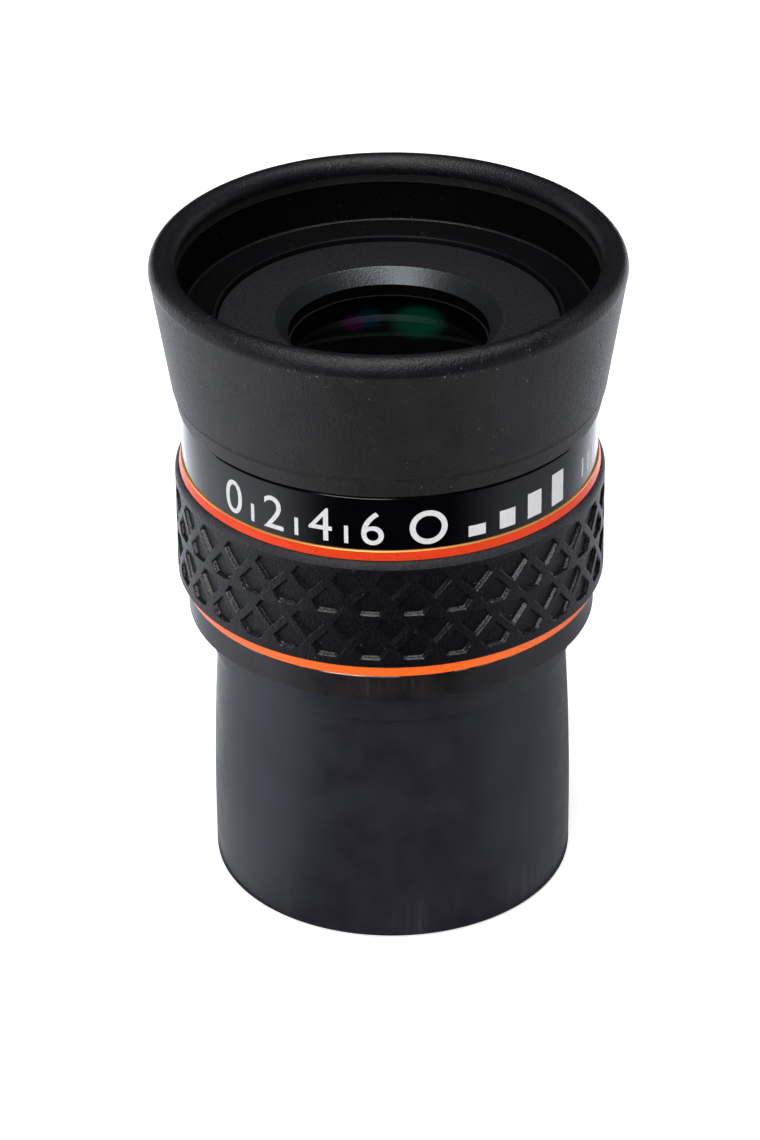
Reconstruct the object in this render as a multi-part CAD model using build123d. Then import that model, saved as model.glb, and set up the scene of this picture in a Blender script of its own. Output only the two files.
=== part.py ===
from build123d import *
import math
import os

# A 1.25-inch telescope eyepiece with a twist-up rubber eyecup.  Millimetres, +Z up.
# The optical axis is Z, and the origin is the centre of the open end of the barrel.
# Outlines are lists of (radius, height) points, turned about Z.

# Barrel, with the filter thread in its mouth and a spigot that screws into the body
BARREL_R = 15.875
BARREL_TOP_Z = 25.55
BARREL_BORE_R = 12.95
BARREL_CHAMFER = 0.35
BARREL_LAND_Z = 4.0            # full width from the lower end up to here
BARREL_COLLAR_Z = 22.4         # full width again from here up
BARREL_TAPER = 0.65            # how far the wall draws in just under the collar
BARREL_TAPER_STEPS = 6
BARREL_SPIGOT_R = 14.5
BARREL_SPIGOT_TOP_Z = 30.45
FILTER_MINOR_R = 13.95
FILTER_MAJOR_R = 14.25
FILTER_PITCH = 0.6
FILTER_TURNS = 8
RELIEF_R = 14.4
RELIEF_Z = (5.0, 5.8)

# Main body: foot flange, thin tube and the thread for the smooth band
FLANGE_R = 17.7
FLANGE_TOP_Z = 28.05
FLANGE_CHAMFER = 0.2
TUBE_R = 17.4
TUBE_BORE_R = 16.7
BODY_SHOULDER_Z = 30.55
BODY_SHOULDER_R = 14.55
BAND_THREAD_R = 17.15
BAND_THREAD_TOP_Z = 43.1

# Trim rings and grip that slide over the tube, and the smooth band that holds them down
TRIM_LOWER_R = (17.9, 18.4)
TRIM_UPPER_R = (18.2, 18.0)
GRIP_Z = (29.4, 39.55)
GRIP_R = 18.55
GRIP_ROUND = 0.7
BAND_Z = (40.4, 45.35)
BAND_R = 17.9
BAND_BORE_R = 16.65
BAND_CHAMFER = 0.25

# Core tube: it holds the lens stack and has the helical guide grooves outside
CORE_R = 15.65
CORE_BORE_R = 12.2
CORE_Z = (30.55, 52.2)
CORE_FOOT_R = 16.65
CORE_FOOT_TOP_Z = 33.05
CORE_COUNTERBORE_R = 12.75
CORE_COUNTERBORE_Z = 50.05

# Twist-up motion: one turn of the helix rises by its lead
TWIST_DEG = 100.0
LIFT = 7.0
GROOVE_START_Z = 36.95
GROOVE_HALF_WIDTH = 0.87
GROOVE_FLOOR_R = 14.85
SCREW_COUNT = 3

# Eyecup carrier, the screws in it and the glide ring round its foot
CARRIER_R = (15.75, 16.55)
CARRIER_Z = (34.4, 52.4)
CARRIER_LIP_R = 14.65
CARRIER_LIP_TOP_Z = 52.85
CARRIER_EDGE_R = 14.95
CARRIER_EDGE_TOP_Z = 53.25
GUIDE_SCREW_R = 0.75
GUIDE_SCREW_SPAN = (14.95, 16.5)
GLIDE_Z = (34.9, 35.65)
GLIDE_R = (16.25, 16.62)
GLIDE_SIDE_GAP = 0.05

# Rubber eyecup: a flared wall with a rounded bead at the top
CUP_BOTTOM_Z = 45.5
CUP_BOTTOM_R = 18.3
CUP_EDGE_ROUND = 0.3
CUP_FLARE = 0.155
CUP_FLOOR = ((14.95, 53.2), (17.4, 53.55))
BEAD_CENTRE = (19.07, 57.96)
BEAD_R = 1.18
LIP_R = 20.26
LIP_HALF_HEIGHT = 0.12

# Eye cap over the eye lens
CAP_R = 14.5
CAP_Z = (52.2, 52.85)
CAP_SPIGOT_R = 12.7
CAP_BOTTOM_Z = 50.1
CAP_THROAT_R = 8.55
CAP_BEVEL_R = 9.65
CAP_BEVEL_Z = 51.6
SEAL_R = 11.0
SEAL_SECTION_R = 0.4

# Lens stack in the core: each lens has its edge heights and the bulge of each surface
STACK_R = 12.15
STACK_CLEAR_R = 10.9
SPACER_BORE_R = 11.1
LOCK_RING_Z = (32.85, 34.4)
LOCK_RING_BORE_R = 10.25
FLINT_Z = (34.4, 36.95)
FLINT_SAG = (0, -1.7)
CROWN_Z = (36.95, 39.15)
CROWN_SAG = (1.7, 1.5)
LOWER_SPACER_Z = (39.15, 41.55)
MIDDLE_LENS_Z = (41.55, 43.4)
MIDDLE_LENS_SAG = (0.6, 1.4)
UPPER_SPACER_Z = (43.4, 46.2)
EYE_LENS_Z = (46.2, 50.05)
EYE_LENS_SAG = (0.9, 0.3)
SPANNER_SLOT_WIDTH = 1.2
SPANNER_SLOT_DEPTH = 0.6

# Field group in the barrel: a cell with a negative doublet, its ring and the field stop
FIELD_CELL_R = 12.9
FIELD_CELL_Z = (7.0, 18.0)
FIELD_LENS_R = 10.8
FIELD_CLEAR_R = 9.45
FIELD_SEAT_Z = 7.9
FIELD_SEAT_R = 9.95
FIELD_FLINT_Z = (7.9, 11.2)
FIELD_FLINT_SAG = (-1.0, -1.4)
FIELD_CROWN_Z = (11.2, 14.2)
FIELD_CROWN_SAG = (1.4, 0.4)
FIELD_RING_Z = (14.2, 15.6)
FIELD_RING_BORE_R = 9.65
FIELD_STOP_Z = (20.0, 21.4)
FIELD_STOP_R = 8.1
FIELD_STOP_EDGE = 0.15

# Grub screws that lock the core in the body, under the grip
GRUB_COUNT = 3
GRUB_R = 1.0
GRUB_Z = 31.8
GRUB_SPAN = (14.7, 17.3)
GRUB_SOCKET_DEPTH = 0.6

OVERRUN = 1.0                  # how far a cutter runs past the wall that it opens
HOLE_CLEARANCE = 0.02
RING_CLEARANCE = 0.05


def face_of(*edges):
    """The flat profile inside a chain of edges, in the XZ plane."""
    return Plane.XZ * make_face(Curve() + list(edges))


def turned(points):
    """Solid of revolution about Z from a closed outline of (radius, height) points."""
    return revolve(face_of(Polyline(*points, close=True)), Axis.Z)


def ring(r_in, r_out, z_low, z_high):
    """Plain ring with square edges."""
    return turned([(r_in, z_low), (r_out, z_low), (r_out, z_high), (r_in, z_high)])


def dome(edge_r, edge_z, crown_z):
    """Arc from the axis to the edge of a lens surface, or a line if it is flat."""
    sag = crown_z - edge_z
    if sag == 0:
        return Line((0, crown_z), (edge_r, edge_z))
    curve_r = (edge_r**2 + sag**2) / (2 * abs(sag))
    middle_r = edge_r / 2
    drop = curve_r - math.sqrt(curve_r**2 - middle_r**2)
    middle_z = crown_z - math.copysign(drop, sag)
    return ThreePointArc((0, crown_z), (middle_r, middle_z), (edge_r, edge_z))


def lens(radii, edge_z, sags):
    """Lens with a flat land round each surface, which bulges outward by its sag."""
    clear_r, edge_r = radii
    low, high = edge_z
    low_crown = low - sags[0]
    high_crown = high + sags[1]
    return revolve(
        face_of(
            dome(clear_r, low, low_crown),
            Polyline((clear_r, low), (edge_r, low), (edge_r, high), (clear_r, high)),
            dome(clear_r, high, high_crown),
            Line((0, high_crown), (0, low_crown)),
        ),
        Axis.Z,
    )


def stack_lens(edge_z, sags):
    return lens((STACK_CLEAR_R, STACK_R), edge_z, sags)


def field_lens(edge_z, sags):
    return lens((FIELD_CLEAR_R, FIELD_LENS_R), edge_z, sags)


def radial_pin(radius, span, height, angle):
    """Round pin that lies along a radius of the eyepiece."""
    start, end = span
    across = Plane(origin=(start, 0, height), z_dir=(1, 0, 0))
    pin = across * Cylinder(radius, end - start, align=(Align.CENTER, Align.CENTER, Align.MIN))
    return Rot(0, 0, angle) * pin


def spread(count, make):
    """Solids made at equal angles round Z."""
    return [make(360.0 * index / count) for index in range(count)]


def spanner_slots(z_high, r_out):
    """Cutter for the two slots that a spanner turns a threaded ring by."""
    slot = Box(2 * r_out + 2, SPANNER_SLOT_WIDTH, 2 * SPANNER_SLOT_DEPTH)
    return Pos(0, 0, z_high) * slot


def barrel_taper():
    """Outer wall of the safety taper, which draws in slowly up to the collar."""
    points = []
    for step in range(BARREL_TAPER_STEPS + 1):
        share = step / BARREL_TAPER_STEPS
        height = BARREL_LAND_Z + (BARREL_COLLAR_Z - BARREL_LAND_Z) * share
        points.append((BARREL_R - BARREL_TAPER * share ** 2, height))
    return points


def barrel():
    outline = [
        (BARREL_R - BARREL_CHAMFER, 0),
        (BARREL_R, BARREL_CHAMFER),
        *barrel_taper(),
        (BARREL_R, BARREL_COLLAR_Z),
        (BARREL_R, BARREL_TOP_Z),
        (BARREL_SPIGOT_R, BARREL_TOP_Z),
        (BARREL_SPIGOT_R, BARREL_SPIGOT_TOP_Z),
        (BARREL_BORE_R, BARREL_SPIGOT_TOP_Z),
        (BARREL_BORE_R, RELIEF_Z[1]),
        (RELIEF_R, RELIEF_Z[1]),
        (RELIEF_R, RELIEF_Z[0]),
        (FILTER_MINOR_R, RELIEF_Z[0]),
    ]
    flat = FILTER_PITCH / 6
    for turn in reversed(range(FILTER_TURNS)):
        middle = (turn + 0.5) * FILTER_PITCH
        outline += [(FILTER_MINOR_R, middle + 2 * flat), (FILTER_MAJOR_R, middle + flat / 2)]
        outline += [(FILTER_MAJOR_R, middle - flat / 2), (FILTER_MINOR_R, middle - 2 * flat)]
    outline.append((FILTER_MINOR_R, 0))
    return turned(outline)


def main_body():
    body = turned(
        [
            (BODY_SHOULDER_R, BARREL_TOP_Z),
            (FLANGE_R, BARREL_TOP_Z),
            (FLANGE_R, FLANGE_TOP_Z - FLANGE_CHAMFER),
            (FLANGE_R - FLANGE_CHAMFER, FLANGE_TOP_Z),
            (TUBE_R, FLANGE_TOP_Z),
            (TUBE_R, BAND_Z[0]),
            (BAND_THREAD_R, BAND_Z[0]),
            (BAND_THREAD_R, BAND_THREAD_TOP_Z),
            (TUBE_BORE_R, BAND_THREAD_TOP_Z),
            (TUBE_BORE_R, BODY_SHOULDER_Z),
            (BODY_SHOULDER_R, BODY_SHOULDER_Z),
        ]
    )
    return body - spread(GRUB_COUNT, grub_hole)


def trim_ring_lower():
    return turned(
        [
            (TUBE_R, FLANGE_TOP_Z),
            (TRIM_LOWER_R[0], FLANGE_TOP_Z),
            (TRIM_LOWER_R[1], GRIP_Z[0]),
            (TUBE_R, GRIP_Z[0]),
        ]
    )


def trim_ring_upper():
    return turned(
        [
            (TUBE_R, GRIP_Z[1]),
            (TRIM_UPPER_R[0], GRIP_Z[1]),
            (TRIM_UPPER_R[1], BAND_Z[0]),
            (TUBE_R, BAND_Z[0]),
        ]
    )


def grip():
    low, high = GRIP_Z
    outer = high - GRIP_ROUND
    inner = GRIP_R - GRIP_ROUND
    slack = GRIP_ROUND * (1 - math.sqrt(0.5))
    return revolve(
        face_of(
            Line((TUBE_R, low), (GRIP_R, low)),
            Line((GRIP_R, low), (GRIP_R, outer)),
            ThreePointArc((GRIP_R, outer), (GRIP_R - slack, high - slack), (inner, high)),
            Line((inner, high), (TUBE_R, high)),
            Line((TUBE_R, high), (TUBE_R, low)),
        ),
        Axis.Z,
    )


def band_ring():
    low, high = BAND_Z
    thread_bore = BAND_THREAD_R + RING_CLEARANCE
    thread_top = BAND_THREAD_TOP_Z + RING_CLEARANCE
    return turned(
        [
            (thread_bore, low),
            (BAND_R, low),
            (BAND_R, high - BAND_CHAMFER),
            (BAND_R - BAND_CHAMFER, high),
            (BAND_BORE_R, high),
            (BAND_BORE_R, thread_top),
            (thread_bore, thread_top),
        ]
    )


def guide_groove(angle):
    """Cutter for one helical groove, round at both ends."""
    lead = LIFT * 360 / TWIST_DEG
    depth = (GROOVE_FLOOR_R, CORE_R + OVERRUN)
    path = Helix(pitch=lead, height=LIFT, radius=CORE_R)
    middle = (depth[0] + depth[1]) / 2
    section = Plane(
        origin=(middle, 0, 0), x_dir=(1, 0, 0), z_dir=path.tangent_at(0)
    ) * Rectangle(depth[1] - depth[0], 2 * GROOVE_HALF_WIDTH)
    run = sweep(section, path, is_frenet=True)
    run = Pos(0, 0, GROOVE_START_Z) * run
    start = radial_pin(GROOVE_HALF_WIDTH, depth, GROOVE_START_Z, 0)
    end = radial_pin(GROOVE_HALF_WIDTH, depth, GROOVE_START_Z + LIFT, TWIST_DEG)
    return Rot(0, 0, angle) * (run + start + end)


def grub_hole(angle):
    return radial_pin(GRUB_R + HOLE_CLEARANCE, (GRUB_SPAN[0], TUBE_R + OVERRUN), GRUB_Z, angle)


def core():
    body = turned(
        [
            (CORE_BORE_R, CORE_Z[0]),
            (CORE_FOOT_R, CORE_Z[0]),
            (CORE_FOOT_R, CORE_FOOT_TOP_Z),
            (CORE_R, CORE_FOOT_TOP_Z),
            (CORE_R, CORE_Z[1]),
            (CORE_COUNTERBORE_R, CORE_Z[1]),
            (CORE_COUNTERBORE_R, CORE_COUNTERBORE_Z),
            (CORE_BORE_R, CORE_COUNTERBORE_Z),
        ]
    )
    return body - spread(SCREW_COUNT, guide_groove) - spread(GRUB_COUNT, grub_hole)


def grub_screws():
    def screw(angle):
        socket = radial_pin(GRUB_R / 2, (GRUB_SPAN[1] - GRUB_SOCKET_DEPTH, TUBE_R), GRUB_Z, angle)
        return radial_pin(GRUB_R, GRUB_SPAN, GRUB_Z, angle) - socket

    return Compound(children=spread(GRUB_COUNT, screw))


def eyecup_carrier():
    body = turned(
        [
            (CARRIER_R[0], CARRIER_Z[0]),
            (CARRIER_R[1], CARRIER_Z[0]),
            (CARRIER_R[1], GLIDE_Z[0] - GLIDE_SIDE_GAP),
            (GLIDE_R[0] - RING_CLEARANCE, GLIDE_Z[0] - GLIDE_SIDE_GAP),
            (GLIDE_R[0] - RING_CLEARANCE, GLIDE_Z[1] + GLIDE_SIDE_GAP),
            (CARRIER_R[1], GLIDE_Z[1] + GLIDE_SIDE_GAP),
            (CARRIER_R[1], CARRIER_LIP_TOP_Z),
            (CARRIER_EDGE_R, CARRIER_LIP_TOP_Z),
            (CARRIER_EDGE_R, CARRIER_EDGE_TOP_Z),
            (CARRIER_LIP_R, CARRIER_EDGE_TOP_Z),
            (CARRIER_LIP_R, CARRIER_Z[1]),
            (CARRIER_R[0], CARRIER_Z[1]),
        ]
    )

    def hole(angle):
        span = (CARRIER_R[0] - OVERRUN, CARRIER_R[1] + OVERRUN)
        return radial_pin(GUIDE_SCREW_R + HOLE_CLEARANCE, span, GROOVE_START_Z, angle)

    return body - spread(SCREW_COUNT, hole)


def guide_screws():
    def screw(angle):
        return radial_pin(GUIDE_SCREW_R, GUIDE_SCREW_SPAN, GROOVE_START_Z, angle)

    return Compound(children=spread(SCREW_COUNT, screw))


def glide_ring():
    return ring(GLIDE_R[0], GLIDE_R[1], *GLIDE_Z)


def eyecup():
    bore = CARRIER_R[1]
    floor_in, floor_out = CUP_FLOOR
    lip_low = BEAD_CENTRE[1] - LIP_HALF_HEIGHT
    lip_high = BEAD_CENTRE[1] + LIP_HALF_HEIGHT
    wall_top_r = CUP_BOTTOM_R + CUP_FLARE * (lip_low - CUP_BOTTOM_Z)
    edge_r = CUP_BOTTOM_R + CUP_FLARE * CUP_EDGE_ROUND
    bead_out = BEAD_CENTRE[0] + math.sqrt(BEAD_R**2 - LIP_HALF_HEIGHT**2)
    bead_in = BEAD_CENTRE[0] - BEAD_R
    bead_top = (BEAD_CENTRE[0], BEAD_CENTRE[1] + BEAD_R)
    return revolve(
        face_of(
            Polyline(
                (bead_in, BEAD_CENTRE[1]),
                floor_out,
                floor_in,
                (floor_in[0], CARRIER_LIP_TOP_Z),
                (bore, CARRIER_LIP_TOP_Z),
                (bore, CUP_BOTTOM_Z),
                (CUP_BOTTOM_R - CUP_EDGE_ROUND, CUP_BOTTOM_Z),
                (edge_r, CUP_BOTTOM_Z + CUP_EDGE_ROUND),
                (wall_top_r, lip_low),
                (LIP_R, lip_low),
                (LIP_R, lip_high),
                (bead_out, lip_high),
            ),
            ThreePointArc((bead_out, lip_high), bead_top, (bead_in, BEAD_CENTRE[1])),
        ),
        Axis.Z,
    )


def eye_cap():
    groove_half = SEAL_SECTION_R + RING_CLEARANCE
    groove_top = CAP_BOTTOM_Z + 2 * SEAL_SECTION_R
    return turned(
        [
            (CAP_THROAT_R, CAP_BEVEL_Z),
            (CAP_BEVEL_R, CAP_Z[1]),
            (CAP_R, CAP_Z[1]),
            (CAP_R, CAP_Z[0]),
            (CAP_SPIGOT_R, CAP_Z[0]),
            (CAP_SPIGOT_R, CAP_BOTTOM_Z),
            (SEAL_R + groove_half, CAP_BOTTOM_Z),
            (SEAL_R + groove_half, groove_top),
            (SEAL_R - groove_half, groove_top),
            (SEAL_R - groove_half, CAP_BOTTOM_Z + SEAL_SECTION_R),
            (CAP_THROAT_R, CAP_BOTTOM_Z + SEAL_SECTION_R),
        ]
    )


def eye_seal():
    centre_z = CAP_BOTTOM_Z + SEAL_SECTION_R + RING_CLEARANCE / 2
    section = Plane.XZ * Pos(SEAL_R, centre_z) * Circle(SEAL_SECTION_R - RING_CLEARANCE / 2)
    return revolve(section, Axis.Z)


def lens_lock_ring():
    body = ring(LOCK_RING_BORE_R, STACK_R, *LOCK_RING_Z)
    return body - spanner_slots(LOCK_RING_Z[0], STACK_R)


def field_cell():
    low, high = FIELD_CELL_Z
    bore = FIELD_LENS_R + RING_CLEARANCE
    return turned(
        [
            (FIELD_SEAT_R, low),
            (FIELD_CELL_R, low),
            (FIELD_CELL_R, high),
            (bore, high),
            (bore, FIELD_SEAT_Z),
            (FIELD_SEAT_R, FIELD_SEAT_Z),
        ]
    )


def field_lens_ring():
    body = ring(FIELD_RING_BORE_R, FIELD_LENS_R, *FIELD_RING_Z)
    return body - spanner_slots(FIELD_RING_Z[1], FIELD_LENS_R)


def field_stop():
    low, high = FIELD_STOP_Z
    outer = BARREL_BORE_R - RING_CLEARANCE
    return turned(
        [
            (FIELD_STOP_R, low),
            (outer, low),
            (outer, high),
            (FIELD_STOP_R + high - low, high),
            (FIELD_STOP_R, low + FIELD_STOP_EDGE),
        ]
    )


PARTS = {
    "eyecup": eyecup(),
    "eyecup_carrier": eyecup_carrier(),
    "guide_screws": guide_screws(),
    "glide_ring": glide_ring(),
    "eye_cap": eye_cap(),
    "eye_seal": eye_seal(),
    "core_tube": core(),
    "eye_lens": stack_lens(EYE_LENS_Z, EYE_LENS_SAG),
    "upper_spacer": ring(SPACER_BORE_R, STACK_R, *UPPER_SPACER_Z),
    "middle_lens": stack_lens(MIDDLE_LENS_Z, MIDDLE_LENS_SAG),
    "lower_spacer": ring(SPACER_BORE_R, STACK_R, *LOWER_SPACER_Z),
    "doublet_crown": stack_lens(CROWN_Z, CROWN_SAG),
    "doublet_flint": stack_lens(FLINT_Z, FLINT_SAG),
    "lens_lock_ring": lens_lock_ring(),
    "main_body": main_body(),
    "band_ring": band_ring(),
    "trim_ring_upper": trim_ring_upper(),
    "grip_sleeve": grip(),
    "trim_ring_lower": trim_ring_lower(),
    "grub_screws": grub_screws(),
    "barrel": barrel(),
    "field_stop": field_stop(),
    "field_cell": field_cell(),
    "field_lens_crown": field_lens(FIELD_CROWN_Z, FIELD_CROWN_SAG),
    "field_lens_flint": field_lens(FIELD_FLINT_Z, FIELD_FLINT_SAG),
    "field_lens_ring": field_lens_ring(),
}

os.makedirs("parts", exist_ok=True)
for node, solid in PARTS.items():
    export_step(solid, f"parts/{node}.step")
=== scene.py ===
import math

import bmesh
import bpy
from mathutils import Matrix, Vector
from mathutils.geometry import delaunay_2d_cdt


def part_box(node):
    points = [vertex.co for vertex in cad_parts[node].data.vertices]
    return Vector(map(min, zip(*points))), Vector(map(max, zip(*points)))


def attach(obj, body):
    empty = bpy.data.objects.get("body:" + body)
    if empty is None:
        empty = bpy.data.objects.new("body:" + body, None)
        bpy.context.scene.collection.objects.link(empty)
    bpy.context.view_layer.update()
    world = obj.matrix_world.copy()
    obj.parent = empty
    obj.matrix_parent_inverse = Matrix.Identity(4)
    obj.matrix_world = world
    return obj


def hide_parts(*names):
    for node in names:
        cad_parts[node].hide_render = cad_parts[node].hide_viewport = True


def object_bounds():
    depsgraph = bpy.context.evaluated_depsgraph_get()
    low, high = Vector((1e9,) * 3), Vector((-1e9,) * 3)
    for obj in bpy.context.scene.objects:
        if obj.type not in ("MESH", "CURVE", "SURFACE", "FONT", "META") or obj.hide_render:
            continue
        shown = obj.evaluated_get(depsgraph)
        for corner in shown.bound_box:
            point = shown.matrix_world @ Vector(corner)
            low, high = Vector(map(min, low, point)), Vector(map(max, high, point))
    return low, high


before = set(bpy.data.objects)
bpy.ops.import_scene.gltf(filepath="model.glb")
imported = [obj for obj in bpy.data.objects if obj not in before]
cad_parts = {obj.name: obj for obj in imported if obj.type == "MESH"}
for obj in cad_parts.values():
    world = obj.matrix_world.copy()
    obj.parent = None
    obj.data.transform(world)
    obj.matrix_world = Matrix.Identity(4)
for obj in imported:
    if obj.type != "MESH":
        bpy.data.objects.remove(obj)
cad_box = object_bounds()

# Outlines are in millimetres, as (radius, height) points turned about Z; meshes are in metres.
MM = 0.001
STEPS = 288
ROUND_STEPS = 6
SHARP_ANGLE = math.radians(38)
ON_AXIS = 1e-9           # a point nearer to the axis than this is on it
WELD = 1e-4              # points nearer than this are one point


# ---------------------------------------------------------------- mesh helpers

def span(node):
    """Lowest height, highest height and radius of a CAD node, in millimetres."""
    low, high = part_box(node)
    return low.z / MM, high.z / MM, high.x / MM


def arc(centre, radius, start, end, steps=ROUND_STEPS):
    """Points on an arc; angles in degrees from the outward direction, anticlockwise."""
    points = []
    for index in range(steps + 1):
        angle = math.radians(start + (end - start) * index / steps)
        points.append((centre[0] + radius * math.cos(angle), centre[1] + radius * math.sin(angle)))
    return points


def rounded(corners):
    """Closed outline whose corners are rounded; a corner is (radius, height, round)."""
    outline = []
    for index, corner in enumerate(corners):
        here = Vector(corner[:2])
        size = corner[2] if len(corner) > 2 else 0
        if not size:
            outline.append(tuple(here))
            continue
        back = (Vector(corners[index - 1][:2]) - here).normalized()
        ahead = (Vector(corners[(index + 1) % len(corners)][:2]) - here).normalized()
        half = back.angle(ahead) / 2
        centre = here + (back + ahead).normalized() * size / math.sin(half)
        first = here + back * size / math.tan(half) - centre
        last = here + ahead * size / math.tan(half) - centre
        turn = math.atan2(first.x * last.y - first.y * last.x, first.dot(last))
        for step in range(ROUND_STEPS + 1):
            angle = turn * step / ROUND_STEPS
            cos, sin = math.cos(angle), math.sin(angle)
            point = centre + Vector((first.x * cos - first.y * sin, first.x * sin + first.y * cos))
            outline.append(tuple(point))
    return outline


def finish_mesh(name, bm, body, nodes, materials):
    """Makes a smooth-shaded piece from a bmesh in millimetres, and fastens it to its body."""
    bmesh.ops.scale(bm, vec=(MM, MM, MM), verts=bm.verts)
    bmesh.ops.recalc_face_normals(bm, faces=bm.faces)
    mesh = bpy.data.meshes.new(name)
    bm.to_mesh(mesh)
    bm.free()
    mesh.polygons.foreach_set("use_smooth", [True] * len(mesh.polygons))
    mesh.set_sharp_from_angle(angle=SHARP_ANGLE)
    piece = bpy.data.objects.new(name, mesh)
    bpy.context.scene.collection.objects.link(piece)
    for material in materials:
        mesh.materials.append(material)
    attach(piece, body)
    if nodes:
        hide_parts(*nodes)
    return piece


def turn(bm, outline, steps=STEPS, closed=True, pick=None):
    """Adds the surface of revolution of an outline; pick gives a face's material index."""
    rings = []
    for radius, height in outline:
        if radius < ON_AXIS:
            rings.append([bm.verts.new((0, 0, height))] * steps)
            continue
        ring = []
        for index in range(steps):
            angle = 2 * math.pi * index / steps
            ring.append(bm.verts.new((radius * math.cos(angle), radius * math.sin(angle), height)))
        rings.append(ring)
    pairs = list(zip(rings, rings[1:] + rings[:1]))
    if not closed:
        pairs.pop()
    for row, (low, high) in enumerate(pairs):
        for index in range(steps):
            after = (index + 1) % steps
            corners = [low[index], low[after], high[after], high[index]]
            corners = [v for i, v in enumerate(corners) if v not in corners[:i]]
            face = bm.faces.new(corners)
            if pick:
                face.material_index = pick(outline[row], outline[(row + 1) % len(outline)])


def lathe(name, outline, body, nodes, materials, closed=True, pick=None):
    bm = bmesh.new()
    turn(bm, outline, closed=closed, pick=pick)
    return finish_mesh(name, bm, body, nodes, materials)


# ---------------------------------------------------------------- materials

# Sockets of a Mix node that mixes colours.
MIX_FACTOR, MIX_FIRST, MIX_SECOND, MIX_RESULT = 0, 6, 7, 2


class Nodes:
    """A material's node tree, with short calls for the nodes used here."""

    def __init__(self, name):
        self.material = bpy.data.materials.new(name)
        self.material.use_nodes = True
        self.tree = self.material.node_tree
        self.shader = self.tree.nodes["Principled BSDF"]
        self.place = self.add("ShaderNodeTexCoord").outputs["Object"]

    def add(self, kind, inputs=None, **settings):
        node = self.tree.nodes.new(kind)
        for key, value in settings.items():
            setattr(node, key, value)
        for key, value in (inputs or {}).items():
            if isinstance(value, bpy.types.NodeSocket):
                self.tree.links.new(value, node.inputs[key])
            else:
                node.inputs[key].default_value = value
        return node

    def set(self, **values):
        """Sets or links the shader's sockets; underscores in a name stand for spaces."""
        for key, value in values.items():
            socket = self.shader.inputs[key.replace("_", " ")]
            if isinstance(value, bpy.types.NodeSocket):
                self.tree.links.new(value, socket)
            else:
                socket.default_value = value

    def stretched(self, scale):
        """Object coordinates in millimetres, scaled along each axis."""
        factors = [1 / MM * s for s in scale]
        return self.add("ShaderNodeMapping", {"Vector": self.place, "Scale": factors}).outputs[0]

    def noise(self, scale, detail=3.0, roughness=0.5, place=None):
        inputs = {"Vector": place or self.stretched((1, 1, 1)), "Scale": scale,
                  "Detail": detail, "Roughness": roughness}
        return self.add("ShaderNodeTexNoise", inputs).outputs["Fac"]

    def between(self, value, low, high, start=0.0, end=1.0, kind="LINEAR"):
        """Maps value from (start, end) to (low, high)."""
        inputs = {"Value": value, "From Min": start, "From Max": end, "To Min": low, "To Max": high}
        return self.add("ShaderNodeMapRange", inputs, interpolation_type=kind).outputs[0]

    def math(self, operation, first, second=0.0):
        return self.add("ShaderNodeMath", {0: first, 1: second}, operation=operation).outputs[0]

    def axes(self):
        """Object coordinates in millimetres, as separate values."""
        return self.add("ShaderNodeSeparateXYZ", {"Vector": self.stretched((1, 1, 1))}).outputs

    def blend_colours(self, factor, first, second):
        inputs = {MIX_FACTOR: factor}
        for key, colour in ((MIX_FIRST, first), (MIX_SECOND, second)):
            inputs[key] = colour if isinstance(colour, bpy.types.NodeSocket) else (*colour, 1)
        return self.add("ShaderNodeMix", inputs, data_type="RGBA").outputs[MIX_RESULT]

    def near_height(self, middle, reach):
        """One at a height in millimetres, falling to zero at reach above or below it."""
        away = self.math("ABSOLUTE", self.math("SUBTRACT", self.axes()["Z"], middle))
        return self.between(away, 1, 0, 0.0, reach)

    def bump(self, height, distance, strength=1.0, normal=None):
        inputs = {"Height": height, "Distance": distance * MM, "Strength": strength}
        if normal:
            inputs["Normal"] = normal
        return self.add("ShaderNodeBump", inputs).outputs[0]


DUST = (0.30, 0.30, 0.31)
SPECK_CELLS = 2.4


def rubber(name, dark, light, rough, grain, specular=0.4, dust=0.5, dust_line=None):
    """Moulded rubber: fine grain, slow tone changes and pale dust; grain is (per mm, depth).

    A dust line is a height in millimetres where more dust has settled, and how far it spreads.
    """
    nodes = Nodes(name)
    fine = nodes.noise(grain[0], 3, 0.6)
    slow_tone = nodes.between(nodes.noise(0.35, 4), 0, 0.5, 0.3, 0.7)
    tone = nodes.math("ADD", slow_tone, nodes.between(fine, 0, 0.5, 0.35, 0.65))
    colour = nodes.blend_colours(tone, dark, light)
    specks = nodes.add("ShaderNodeTexVoronoi", {"Vector": nodes.stretched((1, 1, 1)), "Scale": SPECK_CELLS})
    speck_size = nodes.between(nodes.noise(0.9, 2), 0.05, 0.19, 0.4, 0.7)
    speck = nodes.between(nodes.math("SUBTRACT", speck_size, specks.outputs["Distance"]), 0, 1, 0.0, 0.04)
    amount = nodes.between(nodes.noise(0.5, 2), 0, dust, 0.50, 0.68)
    if dust_line:
        amount = nodes.math("MAXIMUM", amount, nodes.near_height(*dust_line))
    dusty = nodes.blend_colours(nodes.math("MULTIPLY", speck, amount), colour, DUST)
    soft = nodes.bump(nodes.noise(grain[0] / 5, 2), grain[1], 0.5)
    nodes.set(Base_Color=dusty, Roughness=nodes.between(fine, rough - 0.08, rough + 0.10, 0.3, 0.7),
              Normal=nodes.bump(fine, grain[1], 1.0, soft), Specular_IOR_Level=specular)
    return nodes.material


SCUFF = (0.036, 0.034, 0.039)


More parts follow.
